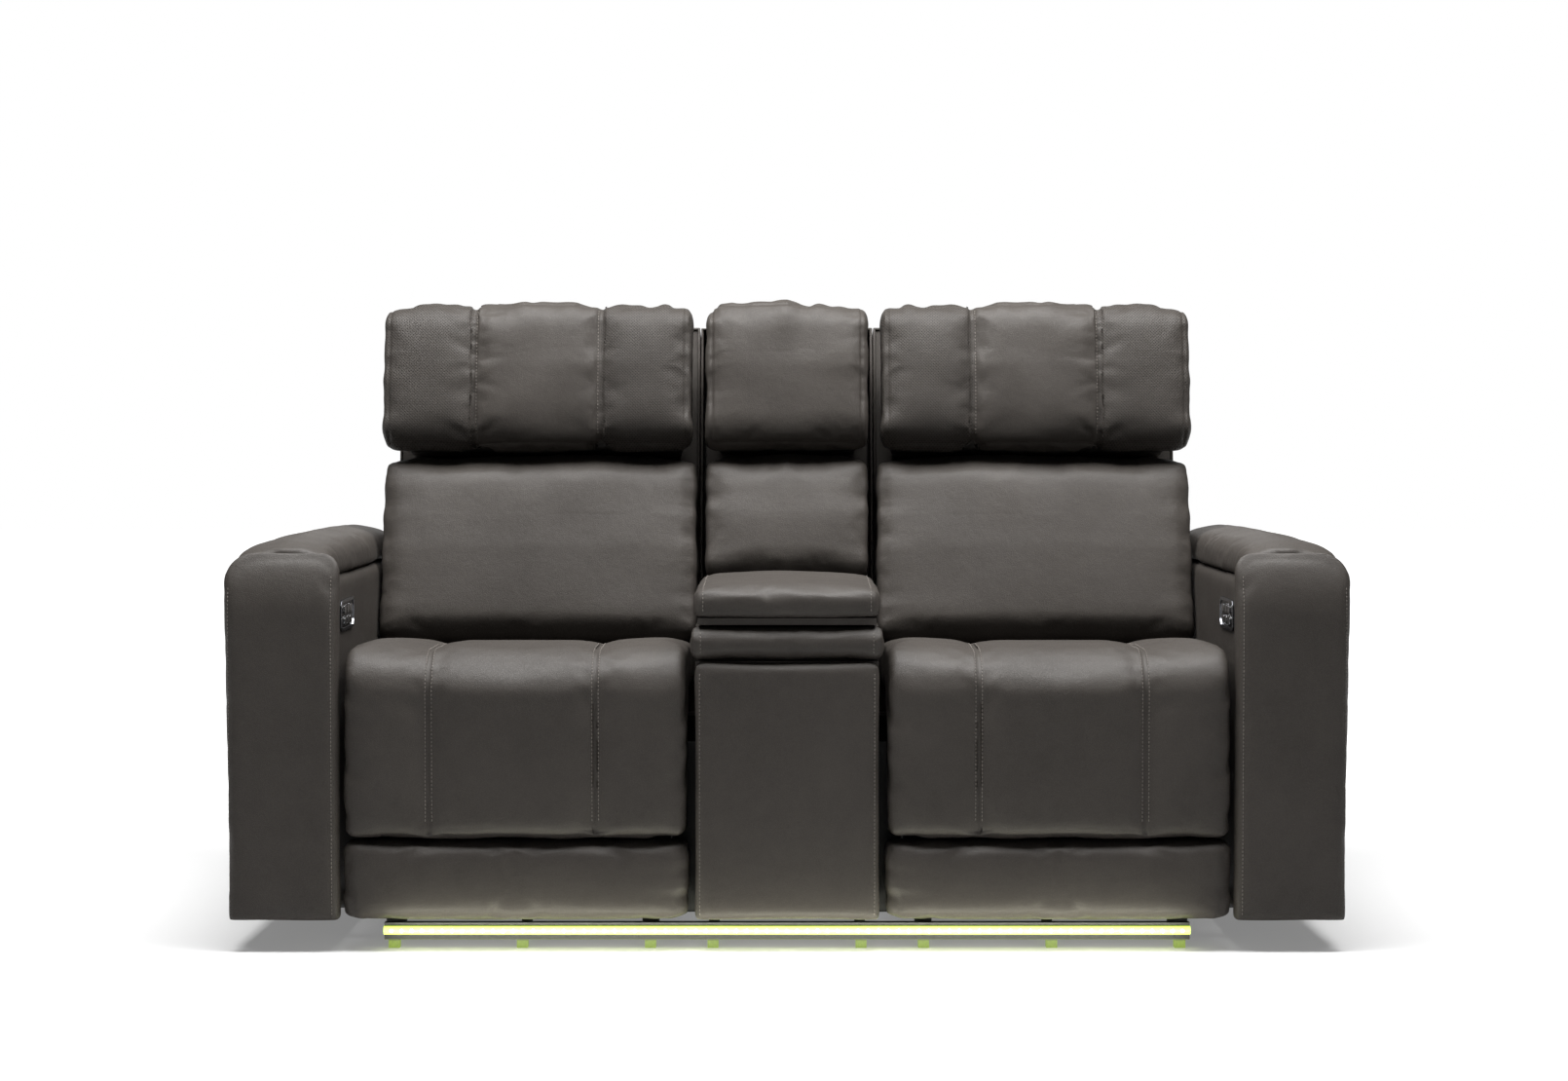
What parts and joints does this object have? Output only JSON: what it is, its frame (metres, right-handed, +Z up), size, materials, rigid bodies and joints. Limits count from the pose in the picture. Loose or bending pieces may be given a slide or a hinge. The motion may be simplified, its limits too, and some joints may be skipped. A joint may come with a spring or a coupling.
{
  "type": "two-seat power recliner with centre console",
  "caption": "Leather home-theatre recliner for two with a centre storage console, powered leg-rests, backs and headrests, arm switch panels and a lit strip under the front edge.",
  "frame": {"origin": "on the floor under the middle of the whole piece", "axes": "+X to the right as seen from the front, along the width; +Y from the front to the back; +Z up"},
  "size_m": [1.84, 0.9232, 1.0891],
  "materials": {
    "leather": "grained, satin",
    "timber": "raw board",
    "black_steel": "powder coat",
    "zinc_steel": "zinc plated",
    "black_plastic": "matt",
    "motor_plastic": "matt",
    "switch_metal": "satin chrome",
    "key_metal": "satin chrome",
    "light_tube": "clear tube, lit"
  },
  "bodies": {
    "base": {"base_frame": "black_steel", "base_glides": "black_plastic", "led_carrier": "black_plastic", "led_strip": "light_tube", "power_supply": "black_plastic", "console_frame": "timber", "console_front_panel": "leather", "console_upper_roll": "leather", "console_back_cushion": "leather", "console_headrest": "leather", "left_arm_frame": "timber", "left_arm_front_band": "leather", "left_arm_pad": "leather", "left_switch_housing": "switch_metal", "right_arm_frame": "timber", "right_arm_front_band": "leather", "right_arm_pad": "leather", "right_switch_housing": "switch_metal"},
    "console_lid": {"console_lid_board": "timber", "console_lid_pad": "leather"},
    "left_seat": {"left_seat_frame": "black_steel", "left_seat_cushion": "leather", "left_legrest_motor": "motor_plastic", "left_back_motor": "motor_plastic"},
    "left_legrest": {"left_legrest_frame": "black_steel", "left_legrest_pads": "leather"},
    "left_legrest_push_rod": {"left_legrest_rod": "zinc_steel"},
    "left_back_push_rod": {"left_back_rod": "zinc_steel"},
    "left_back": {"left_back_frame": "timber", "left_back_cushion": "leather", "left_headrest_motor": "motor_plastic"},
    "left_headrest": {"left_headrest_frame": "black_steel", "left_headrest_pillow": "leather"},
    "left_headrest_push_rod": {"left_headrest_rod": "zinc_steel"},
    "left_key_legrest_down_cap": {"left_key_legrest_down": "key_metal"},
    "left_key_back_upright_cap": {"left_key_back_upright": "key_metal"},
    "left_key_headrest_back_cap": {"left_key_headrest_back": "key_metal"},
    "left_key_legrest_up_cap": {"left_key_legrest_up": "key_metal"},
    "left_key_back_recline_cap": {"left_key_back_recline": "key_metal"},
    "left_key_headrest_forward_cap": {"left_key_headrest_forward": "key_metal"},
    "right_seat": {"right_seat_frame": "black_steel", "right_seat_cushion": "leather", "right_legrest_motor": "motor_plastic", "right_back_motor": "motor_plastic"},
    "right_legrest": {"right_legrest_frame": "black_steel", "right_legrest_pads": "leather"},
    "right_legrest_push_rod": {"right_legrest_rod": "zinc_steel"},
    "right_back_push_rod": {"right_back_rod": "zinc_steel"},
    "right_back": {"right_back_frame": "timber", "right_back_cushion": "leather", "right_headrest_motor": "motor_plastic"},
    "right_headrest": {"right_headrest_frame": "black_steel", "right_headrest_pillow": "leather"},
    "right_headrest_push_rod": {"right_headrest_rod": "zinc_steel"},
    "right_key_legrest_down_cap": {"right_key_legrest_down": "key_metal"},
    "right_key_back_upright_cap": {"right_key_back_upright": "key_metal"},
    "right_key_headrest_back_cap": {"right_key_headrest_back": "key_metal"},
    "right_key_legrest_up_cap": {"right_key_legrest_up": "key_metal"},
    "right_key_back_recline_cap": {"right_key_back_recline": "key_metal"},
    "right_key_headrest_forward_cap": {"right_key_headrest_forward": "key_metal"}
  },
  "joints": [
    {"name": "console_lid_hinge", "type": "hinge", "parent": "base", "child": "console_lid", "pos_m": [0, 0.02238, 0.541], "axis": [-1, 0, 0], "range_deg": [0, 75]},
    {"name": "left_back_recline", "type": "hinge", "parent": "left_seat", "child": "left_back", "pos_m": [-0.444, 0.19838, 0.3], "axis": [-1, 0, 0], "range_deg": [0, 35]},
    {"name": "left_seat_slide", "type": "slide", "parent": "base", "child": "left_seat", "axis": [0, -1, 0], "range_m": [0, 0.1101]},
    {"name": "left_legrest_lift", "type": "hinge", "parent": "left_seat", "child": "left_legrest", "pos_m": [-0.444, -0.38662, 0.425], "axis": [-1, 0, 0], "range_deg": [0, 80]},
    {"name": "left_headrest_tilt", "type": "hinge", "parent": "left_back", "child": "left_headrest", "pos_m": [-0.444, 0.20815, 0.86793], "axis": [1, 0, 0], "range_deg": [0, 30]},
    {"name": "left_legrest_rod_slide", "type": "slide", "parent": "left_seat", "child": "left_legrest_push_rod", "axis": [0, -1, 0], "range_m": [0, 0.0652]},
    {"name": "left_back_rod_slide", "type": "slide", "parent": "left_seat", "child": "left_back_push_rod", "axis": [0, -1, 0], "range_m": [0, 0.0674]},
    {"name": "left_headrest_rod_slide", "type": "slide", "parent": "left_back", "child": "left_headrest_push_rod", "axis": [0, 0.1736, 0.9848], "range_m": [0, 0.0786]},
    {"name": "left_key_legrest_down_press", "type": "slide", "parent": "base", "child": "left_key_legrest_down_cap", "axis": [-1, 0, 0], "range_m": [0, 0.001], "stiffness_N_per_m": 900, "springref_m": -0.0006},
    {"name": "left_key_back_upright_press", "type": "slide", "parent": "base", "child": "left_key_back_upright_cap", "axis": [-1, 0, 0], "range_m": [0, 0.001], "stiffness_N_per_m": 900, "springref_m": -0.0006},
    {"name": "left_key_headrest_back_press", "type": "slide", "parent": "base", "child": "left_key_headrest_back_cap", "axis": [-1, 0, 0], "range_m": [0, 0.001], "stiffness_N_per_m": 900, "springref_m": -0.0006},
    {"name": "left_key_legrest_up_press", "type": "slide", "parent": "base", "child": "left_key_legrest_up_cap", "axis": [-1, 0, 0], "range_m": [0, 0.001], "stiffness_N_per_m": 900, "springref_m": -0.0006},
    {"name": "left_key_back_recline_press", "type": "slide", "parent": "base", "child": "left_key_back_recline_cap", "axis": [-1, 0, 0], "range_m": [0, 0.001], "stiffness_N_per_m": 900, "springref_m": -0.0006},
    {"name": "left_key_headrest_forward_press", "type": "slide", "parent": "base", "child": "left_key_headrest_forward_cap", "axis": [-1, 0, 0], "range_m": [0, 0.001], "stiffness_N_per_m": 900, "springref_m": -0.0006},
    {"name": "right_back_recline", "type": "hinge", "parent": "right_seat", "child": "right_back", "pos_m": [0.444, 0.19838, 0.3], "axis": [-1, 0, 0], "range_deg": [0, 35]},
    {"name": "right_seat_slide", "type": "slide", "parent": "base", "child": "right_seat", "axis": [0, -1, 0], "range_m": [0, 0.1101]},
    {"name": "right_legrest_lift", "type": "hinge", "parent": "right_seat", "child": "right_legrest", "pos_m": [0.444, -0.38662, 0.425], "axis": [-1, 0, 0], "range_deg": [0, 80]},
    {"name": "right_headrest_tilt", "type": "hinge", "parent": "right_back", "child": "right_headrest", "pos_m": [0.444, 0.20815, 0.86793], "axis": [1, 0, 0], "range_deg": [0, 30]},
    {"name": "right_legrest_rod_slide", "type": "slide", "parent": "right_seat", "child": "right_legrest_push_rod", "axis": [0, -1, 0], "range_m": [0, 0.0652]},
    {"name": "right_back_rod_slide", "type": "slide", "parent": "right_seat", "child": "right_back_push_rod", "axis": [0, -1, 0], "range_m": [0, 0.0674]},
    {"name": "right_headrest_rod_slide", "type": "slide", "parent": "right_back", "child": "right_headrest_push_rod", "axis": [0, 0.1736, 0.9848], "range_m": [0, 0.0786]},
    {"name": "right_key_legrest_down_press", "type": "slide", "parent": "base", "child": "right_key_legrest_down_cap", "axis": [1, 0, 0], "range_m": [0, 0.001], "stiffness_N_per_m": 900, "springref_m": -0.0006},
    {"name": "right_key_back_upright_press", "type": "slide", "parent": "base", "child": "right_key_back_upright_cap", "axis": [1, 0, 0], "range_m": [0, 0.001], "stiffness_N_per_m": 900, "springref_m": -0.0006},
    {"name": "right_key_headrest_back_press", "type": "slide", "parent": "base", "child": "right_key_headrest_back_cap", "axis": [1, 0, 0], "range_m": [0, 0.001], "stiffness_N_per_m": 900, "springref_m": -0.0006},
    {"name": "right_key_legrest_up_press", "type": "slide", "parent": "base", "child": "right_key_legrest_up_cap", "axis": [1, 0, 0], "range_m": [0, 0.001], "stiffness_N_per_m": 900, "springref_m": -0.0006},
    {"name": "right_key_back_recline_press", "type": "slide", "parent": "base", "child": "right_key_back_recline_cap", "axis": [1, 0, 0], "range_m": [0, 0.001], "stiffness_N_per_m": 900, "springref_m": -0.0006},
    {"name": "right_key_headrest_forward_press", "type": "slide", "parent": "base", "child": "right_key_headrest_forward_cap", "axis": [1, 0, 0], "range_m": [0, 0.001], "stiffness_N_per_m": 900, "springref_m": -0.0006}
  ],
  "couplings": [
    {"joint": "left_legrest_rod_slide", "follows": "left_legrest_lift", "m_per_rad": 0.046635},
    {"joint": "left_back_rod_slide", "follows": "left_back_recline", "m_per_rad": 0.11015},
    {"joint": "left_seat_slide", "follows": "left_back_recline", "m_per_rad": 0.18007},
    {"joint": "left_headrest_rod_slide", "follows": "left_headrest_tilt", "m_per_rad": 0.14985},
    {"joint": "right_legrest_rod_slide", "follows": "right_legrest_lift", "m_per_rad": 0.046635},
    {"joint": "right_back_rod_slide", "follows": "right_back_recline", "m_per_rad": 0.11015},
    {"joint": "right_seat_slide", "follows": "right_back_recline", "m_per_rad": 0.18007},
    {"joint": "right_headrest_rod_slide", "follows": "right_headrest_tilt", "m_per_rad": 0.14985}
  ]
}
